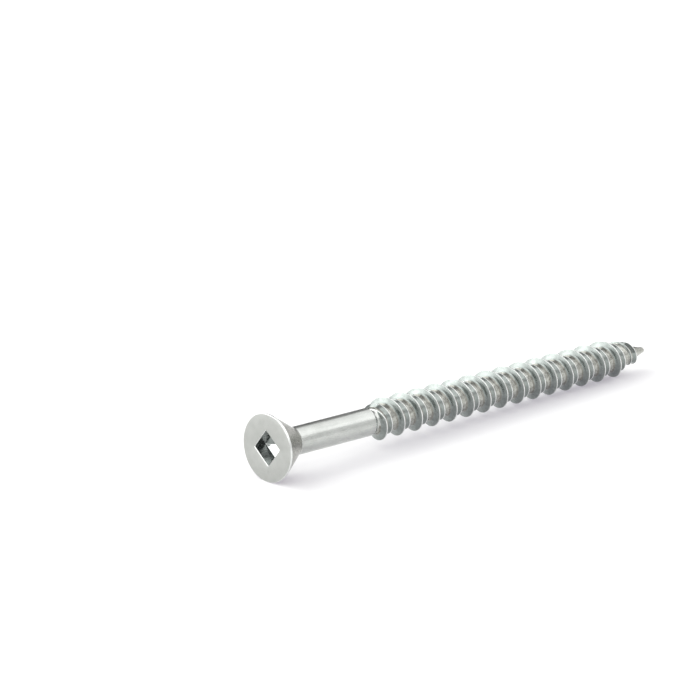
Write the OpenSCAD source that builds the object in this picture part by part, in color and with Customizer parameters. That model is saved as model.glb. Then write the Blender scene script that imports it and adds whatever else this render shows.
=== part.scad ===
// Flat head wood screw: square drive recess, smooth shank and a high-low thread.
// It lies on its side, as it comes to rest, with its point toward +X.
// Millimetres throughout.

/* [Length] */
// Overall length, from the flat face of the head to the tip of the point
screw_len = 63.5; // [50:0.5:80]
// Length from the flat face to the end of the smooth shank
shank_end = 15.9; // [10:0.1:24]

/* [Head] */
// Diameter of the head
head_d = 8; // [7:0.1:9.5]
// Length of the head, from the flat face to where its cone meets the shank
head_len = 3.95; // [3:0.05:5.5]
// Length of the straight land round the edge of the head
rim_len = 0.25; // [0.15:0.05:0.4]
// Bevel on the edge between the flat face and the land
face_bevel = 0.05; // [0.02:0.01:0.1]

/* [Drive recess] */
// Width of the square recess across its flats, at the flat face
drive_w = 2.95; // [2.3:0.05:3.3]
// Depth of the four walls of the recess
drive_depth = 1.6; // [1:0.05:2.2]
// Lean of each wall toward the axis, in degrees
drive_lean = 2.5; // [0.5:0.5:4]
// Depth of the pyramid in the floor of the recess
drive_floor = 0.6; // [0.3:0.05:0.9]
// Turn of the recess about the axis, in degrees
drive_turn = 36.8; // [0:0.2:89.8]

/* [Shank] */
// Diameter of the smooth shank
shank_d = 3.32; // [3.2:0.02:3.8]
// Length of the rolled edge where the shank ends
shank_edge_len = 0.2; // [0.1:0.05:0.4]
// Depth of that rolled edge, measured on the radius
shank_edge_drop = 0.08; // [0.03:0.01:0.1]

/* [Thread] */
// Diameter over the high ridge
high_d = 4.92; // [4.5:0.02:5.4]
// Diameter over the low ridge, which runs between the turns of the high one
low_d = 3.88; // [3.6:0.02:4.4]
// Place of the low ridge after each turn of the high one, as a share of the pitch
low_place = 0.47; // [0.44:0.01:0.54]
// Diameter of the core between the ridges
core_d = 3.1; // [2.7:0.02:3.12]
// Distance from one turn of the high ridge to the next
pitch = 2.87; // [2.4:0.01:3.4]
// Angle of each flank from square to the axis, in degrees
flank_angle = 20; // [14:1:28]
// Angle of the low ridge's flank on the side of the head, which slants more, in degrees
low_lead_angle = 48; // [20:1:50]
// Width of the narrow land along each crest
crest_land = 0.12; // [0.06:0.02:0.2]
// Turn about the axis at which the ridges rise from the core, in degrees
start_turn = 200; // [0:10:350]
// Turns over which the ridges rise to their full height
rise_turns = 0.2; // [0.1:0.05:0.5]

/* [Point] */
// Length of the cone that the core ends in
point_len = 4.85; // [3.5:0.05:6]
// Length of the blunt tip of that cone
tip_len = 0.4; // [0.2:0.05:0.6]
// Diameter at which the blunt tip begins
tip_d = 0.7; // [0.3:0.05:0.9]
// Distance from the end of the high ridge to the tip
ridge_stop = 2.4; // [2:0.1:3]
// Diameter that the high ridge tapers to
high_end_d = 2.05; // [1.9:0.05:2.6]
// Slope of the crest of the high ridge toward the point, in degrees
high_taper = 20; // [16:1:30]
// Diameter that the low ridge tapers to
low_end_d = 2.5; // [1.9:0.05:2.6]
// Slope of the crest of the low ridge toward the point, in degrees
low_taper = 10; // [8:1:16]

/* [Cutting notch] */
// Length of the notch cut in one side of the point
notch_len = 7; // [5:0.5:9]
// Distance from the axis to the inner corner of the notch, at the tip
notch_core = 0.1; // [0.05:0.05:0.3]
// Turn of the notch about the axis, in degrees
notch_turn = 90; // [0:5:355]

/* [Hidden] */

// Fine segments on the turned surfaces, and steps to one turn of the thread.
$fn = 96;
STEPS = 36;
STEP_ANGLE = 360 / STEPS;

head_r = head_d / 2;
shank_r = shank_d / 2;
high_r = high_d / 2;
low_r = low_d / 2;
core_r = core_d / 2;
tip_r = tip_d / 2;

// The core starts inside the shank, a turn of thread before it comes out at the end.
ridge_clear = 0.05;
ridge_start = shank_end + crest_land / 2 + 2 * ridge_clear - pitch;
core_start = ridge_start - crest_land;
ridge_end = screw_len - ridge_stop;
rows = floor((ridge_end - ridge_start) / pitch * STEPS);

// Share of the pitch that the last turn narrows to, so that it ends on the point.
last_share = (ridge_stop - tip_len) / pitch * 0.85;
fade_turns = 0.2;
low_end = ridge_end + pitch * low_place * last_share;

point_slope = (core_r - tip_r) / (point_len - tip_len);

// The cone of the point, carried on past the core, and the three radii along the axis.
function cone_r(z) = tip_r + (screw_len - tip_len - z) * point_slope;
function core_at(z) = min(core_r, cone_r(z));
function high_at(z) = min(high_r, high_end_d / 2 + (ridge_end - z) * tan(high_taper));
function low_at(z) = min(low_r, low_end_d / 2 + (low_end - z) * tan(low_taper));

// Place of row i along the axis, and the share of its full height that a ridge has there.
// It rises where it leaves the shank and fades where it runs out on the point.
function ridge_z(i) = ridge_start + pitch * i / STEPS;
function rise(z) = max(0, min(1, (z - shank_end) / (rise_turns * pitch)));
function fade(i) = min(1, (rows - i) / (fade_turns * STEPS));
function narrow(i) = i <= rows - STEPS ? 1 : 1 - (1 - last_share) * (i - rows + STEPS) / STEPS;
function high_height(i) =
    let (z = ridge_z(i)) (high_at(z) - core_at(z)) * rise(z) * fade(i);
function low_z(i) = ridge_z(i) + pitch * low_place * narrow(i);
function low_height(i) =
    let (z = low_z(i)) (low_at(z) - core_at(z)) * rise(z) * fade(i);
function foot(height, angle) = crest_land / 2 + max(ridge_clear, height * tan(angle));
function high_foot(i) = foot(high_height(i), flank_angle);
// The slanted flank runs down to the core, and no nearer to the high ridge than its foot.
function low_lead(i) =
    min(foot(low_height(i), low_lead_angle), low_z(i) - ridge_z(i) - high_foot(i) - ridge_clear);

// A point on the screw: axial place z, height above the core, row i.
function on_row(i, z, height) =
    let (a = start_turn + i * STEP_ANGLE, r = core_at(z) + height)
    [r * cos(a), r * sin(a), z];

// One ridge in row i: foot, two edges of the crest, foot.
function ridge(i, z, height, lead) = [
    on_row(i, z - lead, 0),
    on_row(i, z - crest_land / 2, height),
    on_row(i, z + crest_land / 2, height),
    on_row(i, z + foot(height, flank_angle), 0)
];
function high_ridge(i) = ridge(i, ridge_z(i), high_height(i), high_foot(i));
function low_ridge(i) = ridge(i, low_z(i), low_height(i), low_lead(i));

// Eight points to a row. A row's ninth point is the first one of the next turn.
PER_ROW = 8;
row_points = [for (i = [0:rows]) each concat(high_ridge(i), low_ridge(i))];
last_points = [for (i = [rows - STEPS + 1:rows]) on_row(i, ridge_z(i) + pitch * narrow(i), 0)];
base_points = [for (i = [0:STEPS - 1]) on_row(i, core_start, 0)];
end_points = [[0, 0, core_start], [0, 0, screw_len]];

LAST = len(row_points);
BASE = LAST + STEPS;
BASE_CENTRE = BASE + STEPS;
TIP = BASE_CENTRE + 1;

// Number of point j in row i.
function v(i, j) =
    j < PER_ROW ? i * PER_ROW + j
    : i + STEPS <= rows ? v(i + STEPS, 0)
    : LAST + i - (rows - STEPS + 1);
function b(i) = BASE + i % STEPS;

// Triangles, clockwise from outside.
function quad(p00, p10, p11, p01) = [[p00, p01, p11], [p00, p11, p10]];
function fan(hub, rim) = [for (k = [0:len(rim) - 2]) [hub, rim[k + 1], rim[k]]];

wall_faces = [
    for (i = [0:rows - 1], j = [0:PER_ROW - 1])
        each quad(v(i, j), v(i + 1, j), v(i + 1, j + 1), v(i, j + 1))
];
// The band between the buried end and the first turn, closed along the first row.
start_faces = concat(
    [for (i = [0:STEPS - 2]) each quad(b(i), b(i + 1), v(i + 1, 0), v(i, 0))],
    fan(v(STEPS - 1, 0), concat([b(STEPS - 1), b(0)], [for (j = [0:PER_ROW]) v(0, j)])),
    [for (i = [0:STEPS - 1]) [BASE_CENTRE, b(i), b(i + 1)]]
);
// The cone between the last turn and the tip, closed along the last row.
tip_faces = concat(
    [for (i = [rows - STEPS + 1:rows - 1]) [v(i, PER_ROW), TIP, v(i + 1, PER_ROW)]],
    fan(v(rows - STEPS + 1, PER_ROW), concat([TIP], [for (j = [PER_ROW:-1:0]) v(rows, j)]))
);

// Core, high ridge, low ridge and point, swept as one closed skin.
module threaded_core() {
    polyhedron(
        points = concat(row_points, last_points, base_points, end_points),
        faces = concat(wall_faces, start_faces, tip_faces),
        convexity = 10
    );
}

// Square notch in the side of the point. Its corner starts near the axis at the tip
// and leans outward until it leaves the thread.
module cutting_notch() {
    lean = atan((high_r - notch_core) / notch_len);
    size = head_d;
    past_tip = 1;
    rotate([0, 0, notch_turn])
        translate([notch_core, 0, screw_len])
            rotate([0, -lean, 0])
                rotate([0, 0, -45])
                    translate([0, 0, -notch_len - size])
                        cube([size, size, notch_len + size + past_tip]);
}

// Half section of the head and the smooth shank.
module head_and_shank() {
    rotate_extrude()
        polygon([
            [0, 0],
            [head_r - face_bevel, 0],
            [head_r, face_bevel],
            [head_r, rim_len],
            [shank_r, head_len],
            [shank_r, shank_end - shank_edge_len],
            [shank_r - shank_edge_drop, shank_end],
            [0, shank_end]
        ]);
}

// Square recess with leaning walls and a pyramid floor, open past the flat face.
module drive_recess() {
    corner = sqrt(2) / 2;
    mouth_gap = 0.5;
    inset = drive_depth * tan(drive_lean);
    flare = mouth_gap * tan(drive_lean);
    floor_w = drive_w - 2 * inset;
    rotate([0, 0, drive_turn + 45]) {
        translate([0, 0, -mouth_gap])
            cylinder(
                h = mouth_gap + drive_depth,
                r1 = (drive_w + 2 * flare) * corner,
                r2 = floor_w * corner,
                $fn = 4
            );
        translate([0, 0, drive_depth])
            cylinder(h = drive_floor, r1 = floor_w * corner, r2 = 0, $fn = 4);
    }
}

// Lying on its side, the screw touches the surface with the rim of its head and with
// the crest of the high ridge that needs the least tilt to reach the surface.
function tilt_to(i) = atan((head_r - high_at(ridge_z(i))) / (ridge_z(i) - rim_len));
bottom_rows = [for (i = [STEPS:rows]) if ((start_turn + i * STEP_ANGLE) % 360 == 0) i];
rest_tilt = min([for (i = bottom_rows) tilt_to(i)]);
face_height = head_r * cos(rest_tilt) + rim_len * sin(rest_tilt);
low_x = -head_r * sin(rest_tilt);
high_x = screw_len * cos(rest_tilt);

module lay_down() {
    translate([-(low_x + high_x) / 2, 0, face_height])
        rotate([0, 90 + rest_tilt, 0])
            children();
}

module screw() {
    color("Silver")
        lay_down()
            difference() {
                union() {
                    head_and_shank();
                    threaded_core();
                }
                drive_recess();
                cutting_notch();
            }
}

screw();
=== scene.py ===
# Flat head wood screw, zinc plated, lying on a white surface.
# The screw is modelled in millimetres along +Z, flat face at zero, then laid down in metres.
import math

import bpy
from mathutils import Matrix, Vector


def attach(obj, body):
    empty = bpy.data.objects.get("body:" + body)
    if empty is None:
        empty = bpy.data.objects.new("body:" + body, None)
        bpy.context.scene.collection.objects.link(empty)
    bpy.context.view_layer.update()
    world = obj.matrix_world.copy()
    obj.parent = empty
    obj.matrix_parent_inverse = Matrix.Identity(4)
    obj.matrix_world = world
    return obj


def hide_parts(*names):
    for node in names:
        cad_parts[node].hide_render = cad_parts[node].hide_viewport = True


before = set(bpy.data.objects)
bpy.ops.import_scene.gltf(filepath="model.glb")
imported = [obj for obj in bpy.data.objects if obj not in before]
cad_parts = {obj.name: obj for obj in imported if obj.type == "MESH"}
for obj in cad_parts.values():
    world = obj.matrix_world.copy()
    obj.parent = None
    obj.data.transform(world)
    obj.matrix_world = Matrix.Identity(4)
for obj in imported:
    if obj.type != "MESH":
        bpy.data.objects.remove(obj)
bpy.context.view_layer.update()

# Sizes in millimetres, as in the part's source.
SCREW_LEN = 63.5
SHANK_END = 15.9
HEAD_R = 4.0
HEAD_LEN = 3.95
RIM_LEN = 0.25
FACE_BEVEL = 0.05
DRIVE_W = 2.95
DRIVE_DEPTH = 1.6
DRIVE_LEAN = math.radians(2.5)
DRIVE_FLOOR = 0.6
DRIVE_TURN = math.radians(36.8)
SHANK_R = 1.66
SHANK_EDGE_LEN = 0.2
SHANK_EDGE_DROP = 0.08
HIGH_R = 2.46
LOW_R = 1.94
LOW_PLACE = 0.47
CORE_R = 1.55
PITCH = 2.87
FLANK = math.radians(20)
LOW_LEAD = math.radians(48)
CREST_LAND = 0.12
START_TURN = math.radians(200)
RISE_TURNS = 0.2
POINT_LEN = 4.85
TIP_LEN = 0.4
TIP_R = 0.35
RIDGE_STOP = 2.4
HIGH_END_R = 1.025
HIGH_TAPER = math.radians(20)
LOW_END_R = 1.25
LOW_TAPER = math.radians(10)
NOTCH_LEN = 7.0
NOTCH_CORE = 0.1
NOTCH_TURN = math.radians(90)

# How the screw lies: its tilt, the height of its flat face and its place along X.
REST_TILT = math.radians(1.62168)
FACE_HEIGHT = 4.00547
FACE_X = -31.6807

# The fine skin of the thread: steps to a turn, and the soft radius at its crests.
STEPS = 84
CREST_ROUND = 0.045
FADE_TURNS = 0.2
RIDGE_CLEAR = 0.05
CUT_START = SHANK_END - 1.4

# Brightness of the room, and the glow that keeps the floor white.
WORLD_STRENGTH = 0.5
FLOOR_GLOW = 0.25

TURN = 2 * math.pi


# Helpers for modelling by hand


def clear_selection():
    """Leaves nothing selected, so that an operator acts on the new piece alone."""
    if bpy.context.object and bpy.context.object.mode != "OBJECT":
        bpy.ops.object.mode_set(mode="OBJECT")
    bpy.ops.object.select_all(action="DESELECT")


def make_active(piece):
    clear_selection()
    piece.select_set(True)
    bpy.context.view_layer.objects.active = piece


def draw_line(name, points):
    """Draws an open line in the XZ plane: a single point, extruded from place to place."""
    clear_selection()
    bpy.ops.mesh.primitive_plane_add(size=1)
    line = bpy.context.object
    line.name = name
    bpy.ops.object.mode_set(mode="EDIT")
    bpy.ops.mesh.select_mode(type="VERT")
    bpy.ops.mesh.select_all(action="SELECT")
    bpy.ops.mesh.merge(type="CENTER")
    places = [Vector((r, 0, z)) for r, z in points]
    bpy.ops.transform.translate(value=places[0])
    for here, there in zip(places, places[1:]):
        bpy.ops.mesh.extrude_region_move(TRANSFORM_OT_translate={"value": there - here})
    bpy.ops.object.mode_set(mode="OBJECT")
    return line


def close_up(piece):
    """Merges doubles and points every face outwards."""
    make_active(piece)
    bpy.ops.object.mode_set(mode="EDIT")
    bpy.ops.mesh.select_all(action="SELECT")
    bpy.ops.mesh.remove_doubles(threshold=0.00003)
    bpy.ops.mesh.normals_make_consistent(inside=False)
    bpy.ops.object.mode_set(mode="OBJECT")


def select_edges(piece, wanted):
    """Selects the edges whose two ends pass the test, and opens edit mode."""
    make_active(piece)
    bpy.ops.object.mode_set(mode="EDIT")
    bpy.ops.mesh.select_mode(type="EDGE")
    bpy.ops.mesh.select_all(action="DESELECT")
    bpy.ops.object.mode_set(mode="OBJECT")
    points = piece.data.vertices
    for edge in piece.data.edges:
        ends = [points[index].co for index in edge.vertices]
        edge.select = wanted(*ends)
    bpy.ops.object.mode_set(mode="EDIT")


def is_ring(r, z):
    """A test for the edges of the ring at this radius and place along the axis."""
    def on_ring(co):
        return abs(math.hypot(co.x, co.y) - r) < 0.003 and abs(co.z - z) < 0.003
    return lambda a, b: on_ring(a) and on_ring(b)


def soften(piece, wanted, width, segments=3):
    select_edges(piece, wanted)
    bpy.ops.mesh.bevel(offset=width, segments=segments, affect="EDGES")
    bpy.ops.object.mode_set(mode="OBJECT")


def combine(piece, other, operation):
    """Joins a piece to the solid, or cuts it out, and removes the loose copy."""
    make_active(piece)
    modifier = piece.modifiers.new(operation.title(), "BOOLEAN")
    modifier.operation = operation
    modifier.object = other
    modifier.solver = "MANIFOLD"
    bpy.ops.object.modifier_apply(modifier=modifier.name)
    bpy.data.objects.remove(other)


# The screw


def head_and_shank():
    """Turned form: flat face, rim, cone, smooth shank and the rolled edge at its end."""
    outline = [
        (0, 0),
        (HEAD_R - FACE_BEVEL, 0),
        (HEAD_R, FACE_BEVEL),
        (HEAD_R, RIM_LEN),
        (SHANK_R, HEAD_LEN),
        (SHANK_R, SHANK_END - SHANK_EDGE_LEN),
        (SHANK_R - SHANK_EDGE_DROP, SHANK_END),
        (0, SHANK_END),
    ]
    shank = draw_line("wood_screw", outline)
    bpy.ops.object.mode_set(mode="EDIT")
    bpy.ops.mesh.select_all(action="SELECT")
    bpy.ops.mesh.spin(steps=144, angle=TURN, center=(0, 0, 0), axis=(0, 0, 1))
    bpy.ops.object.mode_set(mode="OBJECT")
    close_up(shank)
    soften(shank, is_ring(HEAD_R - FACE_BEVEL, 0), 0.02, 2)
    soften(shank, is_ring(HEAD_R, RIM_LEN), 0.03, 2)
    soften(shank, is_ring(SHANK_R, HEAD_LEN), 0.22, 5)
    soften(shank, is_ring(SHANK_R, SHANK_END - SHANK_EDGE_LEN), 0.08, 3)
    soften(shank, is_ring(SHANK_R - SHANK_EDGE_DROP, SHANK_END), 0.03, 2)
    return shank


def core_at(z):
    """Radius of the core: a cylinder, then the cone of the point."""
    slope = (CORE_R - TIP_R) / (POINT_LEN - TIP_LEN)
    return max(TIP_R / 2, min(CORE_R, TIP_R + (SCREW_LEN - TIP_LEN - z) * slope))


RIDGE_START = SHANK_END + CREST_LAND / 2 + 2 * RIDGE_CLEAR - PITCH
RIDGE_END = SCREW_LEN - RIDGE_STOP
LAST_SHARE = (RIDGE_STOP - TIP_LEN) / PITCH * 0.85
LOW_END = RIDGE_END + PITCH * LOW_PLACE * LAST_SHARE
# Steps from the row at RIDGE_START to the first and last rows of the sweep, and to the ridges' end.
FIRST_ROW = -STEPS
END_ROW = (RIDGE_END - RIDGE_START) / PITCH * STEPS
LAST_ROW = math.ceil(END_ROW + (RIDGE_STOP + 0.6) / PITCH * STEPS) + STEPS


def ridge_place(row):
    return RIDGE_START + PITCH * row / STEPS


def narrowing(row):
    """The last turn narrows, so that both ridges end on the point."""
    into_last_turn = min(1, max(0, (row - END_ROW + STEPS) / STEPS))
    return 1 - (1 - LAST_SHARE) * into_last_turn


def ridge_height(row, z, top, end_r, end_z, taper):
    """Height above the core: it rises off the shank, tapers and fades on the point."""
    rise = max(0, min(1, (z - SHANK_END) / (RISE_TURNS * PITCH)))
    fade = max(0, min(1, (END_ROW - row) / (FADE_TURNS * STEPS)))
    crest = min(top, end_r + (end_z - z) * math.tan(taper))
    return max(0, crest - core_at(z)) * rise * fade


def corner(before, tip, after, shares):
    """Points of a soft corner between two places, drawn toward its tip."""
    return [
        tuple((1 - s) ** 2 * a + 2 * s * (1 - s) * t + s * s * b for a, t, b in zip(before, tip, after))
        for s in shares
    ]


def foot_of(height, angle):
    """Distance along the axis from the middle of a crest to the foot of its flank."""
    return CREST_LAND / 2 + max(RIDGE_CLEAR, height * math.tan(angle))


def flank_down(height, foot, root, shares):
    """Steps from the middle of a crest down to the core: along the axis, above the core."""
    edge = (CREST_LAND / 2, height)
    length = math.hypot(foot - edge[0], height) or 1
    down = ((foot - edge[0]) / length, -height / length)
    soft = min(1, height / 0.5)
    top = CREST_ROUND * soft
    root *= soft
    crest_side = (edge[0] - top, height)
    flank_top = (edge[0] + down[0] * top, height + down[1] * top)
    flank_foot = (foot - down[0] * root, -down[1] * root)
    core_side = (foot + root, 0)
    return (
        corner(crest_side, edge, flank_top, (0, 0.5, 1))
        + corner(flank_foot, (foot, 0), core_side, shares)
    )


# Size of a flank's root, and the places at which the root is rounded.
WIDE_ROOT = (0.42, (0, 0.17, 0.33, 0.5, 0.67, 0.83, 1))
TIGHT_ROOT = (0.08, (0, 0.5, 1))
SLANTED_ROOT = (0.12, (0, 0.33, 0.67, 1))


def ridge(z, height, lead, lead_root):
    """One ridge across its crest: the flank on the side of the head, the crest, the other flank."""
    head_side = flank_down(height, lead, *lead_root)
    point_side = flank_down(height, foot_of(height, FLANK), *TIGHT_ROOT)
    steps = [(-along, up) for along, up in reversed(head_side)] + [(0, height)] + point_side
    return [(core_at(z + along) + up, z + along) for along, up in steps]


def thread_row(row):
    """The line along the axis at one row: high ridge, low ridge, and on to the next turn."""
    high_z = ridge_place(row)
    low_z = high_z + PITCH * LOW_PLACE * narrowing(row)
    high = ridge_height(row, high_z, HIGH_R, HIGH_END_R, RIDGE_END, HIGH_TAPER)
    low = ridge_height(row, low_z, LOW_R, LOW_END_R, LOW_END, LOW_TAPER)
    high_foot = foot_of(high, FLANK)
    # The slanted flank runs down to the core, and no nearer to the high ridge than its foot.
    slanted = min(foot_of(low, LOW_LEAD), low_z - high_z - high_foot - RIDGE_CLEAR)
    return ridge(high_z, high, high_foot, WIDE_ROOT) + ridge(low_z, low, slanted, SLANTED_ROOT)


def thread():
    """High and low ridge on the core: one line swept round the axis, then shaped row by row."""
    first = thread_row(FIRST_ROW)
    first.append((first[0][0], first[0][1] + PITCH))
    sweep = draw_line("thread", first)
    rows = LAST_ROW - FIRST_ROW
    screw_modifier = sweep.modifiers.new("Sweep", "SCREW")
    screw_modifier.angle = TURN * rows / STEPS
    screw_modifier.screw_offset = PITCH * rows / STEPS
    screw_modifier.steps = rows
    screw_modifier.render_steps = rows
    screw_modifier.use_merge_vertices = False
    screw_modifier.use_smooth_shade = True
    make_active(sweep)
    bpy.ops.object.modifier_apply(modifier=screw_modifier.name)

    # Each row takes its own heights. Its last point is the first one of the next turn.
    per_row = len(first)
    shape = [thread_row(row) for row in range(FIRST_ROW, LAST_ROW + STEPS + 1)]
    for index, point in enumerate(sweep.data.vertices):
        step, along = divmod(index, per_row)
        if along == per_row - 1:
            r, z = shape[step + STEPS][0]
        else:
            r, z = shape[step][along]
        angle = START_TURN + TURN * (FIRST_ROW + step) / STEPS
        point.co = (r * math.cos(angle), r * math.sin(angle), z)
    close_up(sweep)
    cut_square(sweep, CUT_START, below=True)
    cut_square(sweep, SCREW_LEN - TIP_LEN, below=False)
    round_tip(sweep)
    return sweep


def cut_square(piece, z, below):
    """Cuts the piece square to its axis and closes the cut."""
    make_active(piece)
    bpy.ops.object.mode_set(mode="EDIT")
    bpy.ops.mesh.select_all(action="SELECT")
    bpy.ops.mesh.bisect(
        plane_co=(0, 0, z),
        plane_no=(0, 0, 1),
        use_fill=True,
        clear_inner=below,
        clear_outer=not below,
        threshold=0.0001,
    )
    bpy.ops.object.mode_set(mode="OBJECT")


def round_tip(piece):
    """Draws the cut at the point out to a blunt round tip."""
    start = SCREW_LEN - TIP_LEN
    make_active(piece)
    bpy.ops.object.mode_set(mode="EDIT")
    bpy.ops.mesh.select_mode(type="FACE")
    bpy.ops.mesh.select_all(action="DESELECT")
    bpy.ops.object.mode_set(mode="OBJECT")
    for face in piece.data.polygons:
        face.select = all(abs(piece.data.vertices[v].co.z - start) < 0.001 for v in face.vertices)
    bpy.ops.object.mode_set(mode="EDIT")
    layers = 6
    radius, place = 1.0, 0.0
    for layer in range(1, layers + 1):
        angle = math.pi / 2 * layer / (layers + 0.35)
        next_radius, next_place = math.cos(angle), math.sin(angle) * TIP_LEN
        bpy.ops.mesh.extrude_region_move(
            TRANSFORM_OT_translate={"value": (0, 0, next_place - place)}
        )
        share = next_radius / radius
        bpy.ops.transform.resize(
            value=(share, share, 1), center_override=(0, 0, start + next_place)
        )
        radius, place = next_radius, next_place
    bpy.ops.object.mode_set(mode="OBJECT")


def recess_cutter():
    """Square punch with leaning sides and a pyramid end."""
    gap = 0.5
    corner_share = math.sqrt(2) / 2
    mouth_w = DRIVE_W + 2 * gap * math.tan(DRIVE_LEAN)
    floor_w = DRIVE_W - 2 * DRIVE_DEPTH * math.tan(DRIVE_LEAN)
    clear_selection()
    bpy.ops.mesh.primitive_cone_add(
        vertices=4,
        radius1=mouth_w * corner_share,
        radius2=floor_w * corner_share,
        depth=gap + DRIVE_DEPTH,
        location=(0, 0, (DRIVE_DEPTH - gap) / 2),
    )
    punch = bpy.context.object
    punch.name = "recess_cutter"
    bpy.ops.object.transform_apply(location=True, rotation=True, scale=True)
    bpy.ops.object.mode_set(mode="EDIT")
    bpy.ops.mesh.select_mode(type="FACE")
    bpy.ops.mesh.select_all(action="DESELECT")
    bpy.ops.object.mode_set(mode="OBJECT")
    for face in punch.data.polygons:
        face.select = face.normal.z > 0.9
    bpy.ops.object.mode_set(mode="EDIT")
    bpy.ops.mesh.extrude_region_move(TRANSFORM_OT_translate={"value": (0, 0, DRIVE_FLOOR)})
    bpy.ops.mesh.merge(type="CENTER")
    bpy.ops.mesh.select_all(action="SELECT")
    bpy.ops.transform.rotate(
        value=-(DRIVE_TURN + math.pi / 4), orient_axis="Z", center_override=(0, 0, 0)
    )
    bpy.ops.object.mode_set(mode="OBJECT")
    close_up(punch)
    return punch


def notch_cutter():
    """Square block whose edge leans from near the axis at the tip out of the thread."""
    size = 2 * HEAD_R
    length = NOTCH_LEN + size + 1
    lean = math.atan((HIGH_R - NOTCH_CORE) / NOTCH_LEN)
    clear_selection()
    bpy.ops.mesh.primitive_cube_add(size=1, location=(0.5, 0.5, 0.5))
    block = bpy.context.object
    block.name = "notch_cutter"
    bpy.ops.object.transform_apply(location=True, rotation=True, scale=True)
    bpy.ops.object.mode_set(mode="EDIT")
    bpy.ops.transform.resize(value=(size, size, length), center_override=(0, 0, 0))
    bpy.ops.transform.translate(value=(0, 0, -NOTCH_LEN - size))
    bpy.ops.object.mode_set(mode="OBJECT")
    block.matrix_world = (
        Matrix.Rotation(NOTCH_TURN, 4, "Z")
        @ Matrix.Translation((NOTCH_CORE, 0, SCREW_LEN))
        @ Matrix.Rotation(-lean, 4, "Y")
        @ Matrix.Rotation(-math.pi / 4, 4, "Z")
    )
    bpy.ops.object.transform_apply(location=True, rotation=True, scale=True)
    return block


def at_recess_mouth(a, b):
    """Edges of the square mouth in the flat face."""
    return all(abs(p.z) < 0.002 and 1.2 < math.hypot(p.x, p.y) < 2.2 for p in (a, b))


def in_recess(a, b):
    """Edges of the walls and floor inside the recess."""
    mouth = DRIVE_DEPTH + DRIVE_FLOOR + 0.01
    deep = all(math.hypot(p.x, p.y) < 2.2 and -0.01 < p.z < mouth for p in (a, b))
    return deep and max(a.z, b.z) > 0.3


def lay_down(piece):
    """Lays the screw on its side at its real size, with its place in its mesh."""
    make_active(piece)
    piece.matrix_world = (
        Matrix.Translation((FACE_X / 1000, 0, FACE_HEIGHT / 1000))
        @ Matrix.Rotation(math.pi / 2 + REST_TILT, 4, "Y")
        @ Matrix.Scale(0.001, 4)
    )
    bpy.ops.object.transform_apply(location=True, rotation=True, scale=True)


def wood_screw():
    screw = head_and_shank()
    combine(screw, thread(), "UNION")
    combine(screw, recess_cutter(), "DIFFERENCE")
    soften(screw, in_recess, 0.07, 3)
    soften(screw, at_recess_mouth, 0.11, 3)
    combine(screw, notch_cutter(), "DIFFERENCE")
    close_up(screw)
    plate(screw)
    lay_down(screw)
    make_active(screw)
    bpy.ops.object.shade_smooth_by_angle(angle=math.radians(40))
    even = screw.modifiers.new("Even", "WEIGHTED_NORMAL")
    even.keep_sharp = True
    bpy.ops.object.modifier_apply(modifier=even.name)
    return screw


# Zinc plate, in nine finishes, from the flat face to the roots of the thread; several finishes are
# darker or lighter copies of one plate, as painted shade and painted highlights


def screw_coordinates(tree):
    """Object coordinates turned so that Z runs along the screw, in millimetres."""
    place = tree.nodes.new("ShaderNodeTexCoord")
    turned = tree.nodes.new("ShaderNodeMapping")
    turned.vector_type = "TEXTURE"
    turned.inputs["Location"].default_value = (FACE_X / 1000, 0, FACE_HEIGHT / 1000)
    turned.inputs["Rotation"].default_value = (0, math.pi / 2 + REST_TILT, 0)
    turned.inputs["Scale"].default_value = (0.001, 0.001, 0.001)
    tree.links.new(place.outputs["Object"], turned.inputs["Vector"])
    return turned.outputs["Vector"]


def noise(tree, coordinates, scale, detail, stretch=(1, 1, 1)):
    """Noise with this many spots to a millimetre, drawn out along an axis where stretched."""
    mapping = tree.nodes.new("ShaderNodeMapping")
    mapping.inputs["Scale"].default_value = stretch
    spots = tree.nodes.new("ShaderNodeTexNoise")
    spots.inputs["Scale"].default_value = scale
    spots.inputs["Detail"].default_value = detail
    tree.links.new(coordinates, mapping.inputs["Vector"])
    tree.links.new(mapping.outputs["Vector"], spots.inputs["Vector"])
    return spots.outputs["Fac"]


def ramp(tree, value, dark, light, low=0.35, high=0.65):
    """Colour between two tones, from a noise value."""
    tone = tree.nodes.new("ShaderNodeValToRGB")
    tone.color_ramp.elements[0].position = low
    tone.color_ramp.elements[0].color = (*dark, 1)
    tone.color_ramp.elements[1].position = high
    tone.color_ramp.elements[1].color = (*light, 1)
    tree.links.new(value, tone.inputs["Fac"])
    return tone.outputs["Color"]


def spread(tree, value, low, high):
    """A number between two limits, from a noise value."""
    limits = tree.nodes.new("ShaderNodeMapRange")
    limits.inputs["From Min"].default_value = 0.3
    limits.inputs["From Max"].default_value = 0.7
    limits.inputs["To Min"].default_value = low
    limits.inputs["To Max"].default_value = high
    tree.links.new(value, limits.inputs["Value"])
    return limits.outputs["Result"]


def relief(tree, value, height):
    """Bump with this height in metres."""
    bump = tree.nodes.new("ShaderNodeBump")
    bump.inputs["Strength"].default_value = 1.0
    bump.inputs["Distance"].default_value = height
    tree.links.new(value, bump.inputs["Height"])
    return bump.outputs["Normal"]


def metal(name):
    zinc = bpy.data.materials.new(name)
    zinc.use_nodes = True
    shader = zinc.node_tree.nodes["Principled BSDF"]
    shader.inputs["Metallic"].default_value = 1.0
    return zinc, zinc.node_tree, shader


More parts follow.
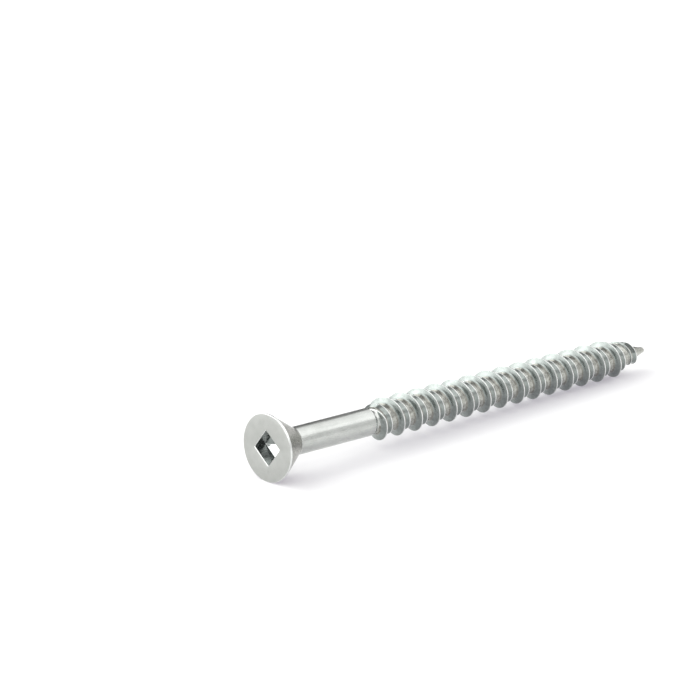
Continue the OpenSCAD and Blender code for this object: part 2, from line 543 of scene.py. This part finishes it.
def rolling_marks(tree, along):
    """Coordinates that change with the radius and along the axis only, for marks that run round."""
    parts = tree.nodes.new("ShaderNodeSeparateXYZ")
    tree.links.new(along, parts.inputs["Vector"])
    across = tree.nodes.new("ShaderNodeCombineXYZ")
    tree.links.new(parts.outputs["X"], across.inputs["X"])
    tree.links.new(parts.outputs["Y"], across.inputs["Y"])
    radius = tree.nodes.new("ShaderNodeVectorMath")
    radius.operation = "LENGTH"
    tree.links.new(across.outputs["Vector"], radius.inputs[0])
    marks = tree.nodes.new("ShaderNodeCombineXYZ")
    tree.links.new(radius.outputs["Value"], marks.inputs["X"])
    tree.links.new(parts.outputs["Z"], marks.inputs["Y"])
    return marks.outputs["Vector"]


def stamped_zinc():
    """Flat face: even and fine grained, a little dull."""
    zinc, tree, shader = metal("stamped_zinc")
    along = screw_coordinates(tree)
    clouds = noise(tree, along, 0.9, 4.0)
    grain = noise(tree, along, 16.0, 3.0)
    tree.links.new(
        ramp(tree, clouds, (0.42, 0.43, 0.41), (0.455, 0.465, 0.445)), shader.inputs["Base Color"]
    )
    tree.links.new(spread(tree, grain, 0.26, 0.36), shader.inputs["Roughness"])
    tree.links.new(relief(tree, grain, 0.000002), shader.inputs["Normal"])
    return zinc


def punched_shade_zinc():
    """Walls of the recess: a darker tone than the face as painted shade in the recess, with lines that
    run in along the punch.
    """
    zinc, tree, shader = metal("punched_shade_zinc")
    along = screw_coordinates(tree)
    lines = noise(tree, along, 5.0, 3.0, (1, 1, 0.12))
    # Dark tones: painted shade inside the recess.
    tree.links.new(
        ramp(tree, lines, (0.21, 0.226, 0.22), (0.34, 0.357, 0.35)), shader.inputs["Base Color"]
    )
    tree.links.new(spread(tree, lines, 0.20, 0.36), shader.inputs["Roughness"])
    tree.links.new(relief(tree, lines, 0.00001), shader.inputs["Normal"])
    return zinc


def pressed_highlight_zinc():
    """Floor of the recess: pressed smooth, and lighter than the face as a painted highlight."""
    zinc, tree, shader = metal("pressed_highlight_zinc")
    along = screw_coordinates(tree)
    clouds = noise(tree, along, 3.0, 3.0)
    # Light tones: painted highlight on the recess floor.
    tree.links.new(
        ramp(tree, clouds, (0.50, 0.52, 0.51), (0.62, 0.64, 0.63)), shader.inputs["Base Color"]
    )
    shader.inputs["Roughness"].default_value = 0.15
    return zinc


def drawn_zinc(name, dark, light):
    """Cone and shank: long streaks from drawing the wire; the cone takes darker tones of the same
    plate, as painted shade under the head.
    """
    zinc, tree, shader = metal(name)
    along = screw_coordinates(tree)
    streaks = noise(tree, along, 4.0, 4.0, (1, 1, 0.05))
    clouds = noise(tree, along, 1.1, 5.0, (1, 1, 0.6))
    tree.links.new(
        ramp(tree, clouds, dark, light), shader.inputs["Base Color"]
    )
    tree.links.new(spread(tree, streaks, 0.16, 0.34), shader.inputs["Roughness"])
    tree.links.new(relief(tree, streaks, 0.000022), shader.inputs["Normal"])
    return zinc


def flank_shade_zinc():
    """Flanks of both ridges: grey green plate, darker than the shank as painted shade between the
    ridges, with fine marks that run round the screw.
    """
    zinc, tree, shader = metal("flank_shade_zinc")
    along = screw_coordinates(tree)
    marks = noise(tree, rolling_marks(tree, along), 7.0, 4.0)
    clouds = noise(tree, along, 1.8, 5.0)
    # Dark tones: painted shade on the flanks.
    tree.links.new(
        ramp(tree, clouds, (0.25, 0.273, 0.26), (0.315, 0.345, 0.33)), shader.inputs["Base Color"]
    )
    tree.links.new(spread(tree, marks, 0.14, 0.30), shader.inputs["Roughness"])
    tree.links.new(relief(tree, marks, 0.000003), shader.inputs["Normal"])
    return zinc


def crest_burnish_and_highlight_zinc():
    """Crests of both ridges, burnished by the rolling dies; this light tone is also a painted highlight
    along the crests, the rim, the recess mouth and the shank's end.
    """
    zinc, tree, shader = metal("crest_burnish_and_highlight_zinc")
    along = screw_coordinates(tree)
    clouds = noise(tree, along, 3.0, 3.0)
    # Light tones: burnish, and painted highlight along crests and edges.
    tree.links.new(
        ramp(tree, clouds, (0.70, 0.72, 0.70), (0.80, 0.81, 0.80)), shader.inputs["Base Color"]
    )
    shader.inputs["Roughness"].default_value = 0.22
    return zinc


def core_zinc(name, dark, light):
    """Core and the ridges' roots: warm plate with small dull spots; the roots take darker tones as
    painted shade in the crease.
    """
    zinc, tree, shader = metal(name)
    along = screw_coordinates(tree)
    spots = noise(tree, along, 3.6, 4.0)
    grain = noise(tree, along, 9.0, 3.0)
    tree.links.new(
        ramp(tree, spots, dark, light), shader.inputs["Base Color"]
    )
    tree.links.new(spread(tree, grain, 0.16, 0.34), shader.inputs["Roughness"])
    tree.links.new(relief(tree, spots, 0.000005), shader.inputs["Normal"])
    return zinc


def finish_of(place, normal):
    """Which finish a face of the screw has, by its place and the way it faces."""
    r = math.hypot(place.x, place.y)
    if place.z < FACE_BEVEL / 2 and (r > DRIVE_W * 0.75 or normal.z < -0.9):
        return "face"
    if r < DRIVE_W * 0.75 and place.z < DRIVE_DEPTH + DRIVE_FLOOR:
        # The softened mouth of the recess takes the crest finish, a painted highlight along the edge.
        if place.z < 0.11:
            return "crest"
        # Recess walls take painted shade, and the floor a painted highlight.
        return "recess_walls" if normal.z > -0.4 else "recess_floor"
    if place.z < HEAD_LEN - 0.15:
        # The rim takes the crest finish, a painted highlight, and the cone a darker copy, painted
        # shade.
        return "cone" if r < HEAD_R - 0.03 else "crest"
    if place.z < SHANK_END + SHANK_EDGE_LEN and r > CORE_R:
        # The rolled edge at the shank's end takes the crest finish, a painted highlight.
        return "crest" if place.z > SHANK_END - 0.35 and normal.z > 0.05 else "shank"
    outward = (normal.x * place.x + normal.y * place.y) / r
    height = r - core_at(place.z)
    # Flanks take painted shade, and crests a painted highlight.
    if outward < 0.5 or (outward < 0.85 and 0.12 < height and r < LOW_R - 0.03):
        return "flank"
    if height > 0.12:
        return "crest"
    # Root faces that turn toward the head, at the foot of a flank, take painted shade.
    return "root" if normal.z < -0.42 else "core"


def plate(piece):
    """Gives each part of the screw its finish."""
    finishes = {
        "face": stamped_zinc(),
        # Recess walls: darker tones, painted shade in the recess.
        "recess_walls": punched_shade_zinc(),
        # Recess floor: lighter tones, a painted highlight.
        "recess_floor": pressed_highlight_zinc(),
        # Cone: a darker copy of the shank's plate, painted shade.
        "cone": drawn_zinc("cone_shade_zinc", (0.27, 0.27, 0.245), (0.35, 0.35, 0.32)),
        "shank": drawn_zinc("drawn_zinc", (0.475, 0.49, 0.47), (0.535, 0.55, 0.53)),
        # Flanks: darker tones, painted shade between the ridges.
        "flank": flank_shade_zinc(),
        # Crests and edges: burnished, with lighter tones as a painted highlight.
        "crest": crest_burnish_and_highlight_zinc(),
        "core": core_zinc("core_zinc", (0.33, 0.332, 0.303), (0.51, 0.517, 0.478)),
        # Roots: a darker copy of the core's plate, painted shade in the crease.
        "root": core_zinc("root_shade_zinc", (0.22, 0.22, 0.196), (0.32, 0.32, 0.29)),
    }
    piece.data.materials.clear()
    for finish in finishes.values():
        piece.data.materials.append(finish)
    order = list(finishes)
    for face in piece.data.polygons:
        face.material_index = order.index(finish_of(face.center, face.normal))


# Floor, light and camera


def seen_white(tree, value):
    """This strength for rays from the camera, from metal and through glass, else none."""
    path = tree.nodes.new("ShaderNodeLightPath")
    seen = path.outputs["Is Camera Ray"]
    for kind in ("Is Glossy Ray", "Is Transmission Ray"):
        either = tree.nodes.new("ShaderNodeMath")
        either.operation = "MAXIMUM"
        tree.links.new(seen, either.inputs[0])
        tree.links.new(path.outputs[kind], either.inputs[1])
        seen = either.outputs["Value"]
    strength = tree.nodes.new("ShaderNodeMath")
    strength.operation = "MULTIPLY"
    strength.inputs[1].default_value = value
    tree.links.new(seen, strength.inputs[0])
    return strength.outputs["Value"]


def white_floor():
    """White surface that stays white to the edge of the picture and keeps the shadow."""
    clear_selection()
    bpy.ops.mesh.primitive_plane_add(size=6)
    floor = bpy.context.object
    floor.name = "floor"
    paper = bpy.data.materials.new("white_floor")
    paper.use_nodes = True
    shader = paper.node_tree.nodes["Principled BSDF"]
    shader.inputs["Base Color"].default_value = (0.745, 0.762, 0.722, 1)
    shader.inputs["Roughness"].default_value = 0.9
    shader.inputs["Specular IOR Level"].default_value = 0.0
    shader.inputs["Emission Color"].default_value = (0.88, 0.79, 1.0, 1)
    paper.node_tree.links.new(
        seen_white(paper.node_tree, FLOOR_GLOW), shader.inputs["Emission Strength"]
    )
    floor.data.materials.append(paper)


def toward(tree, direction, aim, stops):
    """Brightness by how near a direction lies to this one: pairs of cosine and brightness."""
    near = tree.nodes.new("ShaderNodeVectorMath")
    near.operation = "DOT_PRODUCT"
    near.inputs[1].default_value = Vector(aim).normalized()
    tree.links.new(direction, near.inputs[0])
    glow = tree.nodes.new("ShaderNodeMapRange")
    glow.interpolation_type = "SMOOTHSTEP"
    (glow.inputs["From Min"].default_value, glow.inputs["To Min"].default_value) = stops[0]
    (glow.inputs["From Max"].default_value, glow.inputs["To Max"].default_value) = stops[1]
    tree.links.new(near.outputs["Value"], glow.inputs["Value"])
    return glow.outputs["Result"]


def combined(tree, operation, one, other):
    both = tree.nodes.new("ShaderNodeMath")
    both.operation = operation
    tree.links.new(one, both.inputs[0])
    tree.links.new(other, both.inputs[1])
    return both.outputs["Value"]


def studio_world():
    """Room with pale walls, a bright window low at the back left and a dark wall behind."""
    world = bpy.data.worlds.new("studio")
    bpy.context.scene.world = world
    world.use_nodes = True
    tree = world.node_tree
    direction = tree.nodes.new("ShaderNodeTexCoord").outputs["Generated"]
    window = toward(tree, direction, (-0.66, 0.73, 0.18), [(0.70, 0.0), (0.97, 4.0)])
    left_wall = toward(tree, direction, (-0.93, 0.28, 0.20), [(0.71, 0.0), (0.97, 2.6)])
    front_wall = toward(tree, direction, (-0.67, -0.72, 0.12), [(0.84, 0.0), (0.96, 0.7)])
    right_wall = toward(tree, direction, (0.85, -0.5, 0.15), [(0.5, 0.0), (0.92, 0.95)])
    dark_wall = toward(tree, direction, (0.74, 0.67, 0.10), [(0.92, 1.0), (0.98, 0.35)])
    walls = combined(tree, "ADD", combined(tree, "ADD", window, left_wall), right_wall)
    walls = combined(tree, "ADD", walls, front_wall)
    lit = tree.nodes.new("ShaderNodeMath")
    lit.operation = "ADD"
    lit.inputs[1].default_value = 1.0
    tree.links.new(walls, lit.inputs[0])
    strength = combined(tree, "MULTIPLY", lit.outputs["Value"], dark_wall)
    scaled = tree.nodes.new("ShaderNodeMath")
    scaled.operation = "MULTIPLY"
    scaled.inputs[1].default_value = WORLD_STRENGTH
    tree.links.new(strength, scaled.inputs[0])
    background = tree.nodes["Background"]
    background.inputs["Color"].default_value = (1, 1, 1, 1)
    tree.links.new(scaled.outputs["Value"], background.inputs["Strength"])


def softbox(name, place, size, radiance, on_dull=1.0):
    """Rectangular lamp that faces the screw, with its brightness as metal shows it.

    On dull surfaces it gives this share of its light.
    """
    clear_selection()
    bpy.ops.object.light_add(type="AREA", location=place)
    lamp = bpy.context.object
    lamp.name = name
    lamp.data.shape = "RECTANGLE"
    lamp.data.size, lamp.data.size_y = size
    lamp.data.energy = radiance * math.pi * size[0] * size[1]
    lamp.data.diffuse_factor = on_dull
    lamp.rotation_euler = (-Vector(place)).to_track_quat("-Z", "Y").to_euler()


def photo_camera():
    """The photograph's angle: from the head's side, a little above, with a long lens."""
    looks_at = Vector((0.00888, 0.02898, 0))
    azimuth = math.radians(46.2329)
    down = math.radians(17.9068)
    distance = 0.45583
    roll = math.radians(0.781)
    direction = Vector(
        (math.cos(azimuth) * math.cos(down), math.sin(azimuth) * math.cos(down), -math.sin(down))
    )
    bpy.ops.object.camera_add(location=looks_at - direction * distance)
    camera = bpy.context.object
    camera.name = "camera"
    turn = direction.to_track_quat("-Z", "Y").to_matrix() @ Matrix.Rotation(roll, 3, "Z")
    camera.rotation_euler = turn.to_euler()
    camera.data.sensor_width = 36
    camera.data.lens = 185.48
    camera.data.clip_start = 0.01
    camera.data.clip_end = 20
    bpy.context.scene.camera = camera


clear_selection()
screw = wood_screw()
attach(screw, "root")
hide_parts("screw")

white_floor()
studio_world()
softbox("right_softbox", (0.70, -0.06, 0.62), (1.2, 0.6), 0.9, 0.15)
softbox("back_softbox", (-0.15, 0.60, 0.75), (0.8, 0.6), 2.3)
softbox("left_softbox", (-0.62, -0.36, 0.62), (1.0, 0.8), 1.15, 0.2)
photo_camera()
bpy.context.scene.view_settings.view_transform = "Standard"
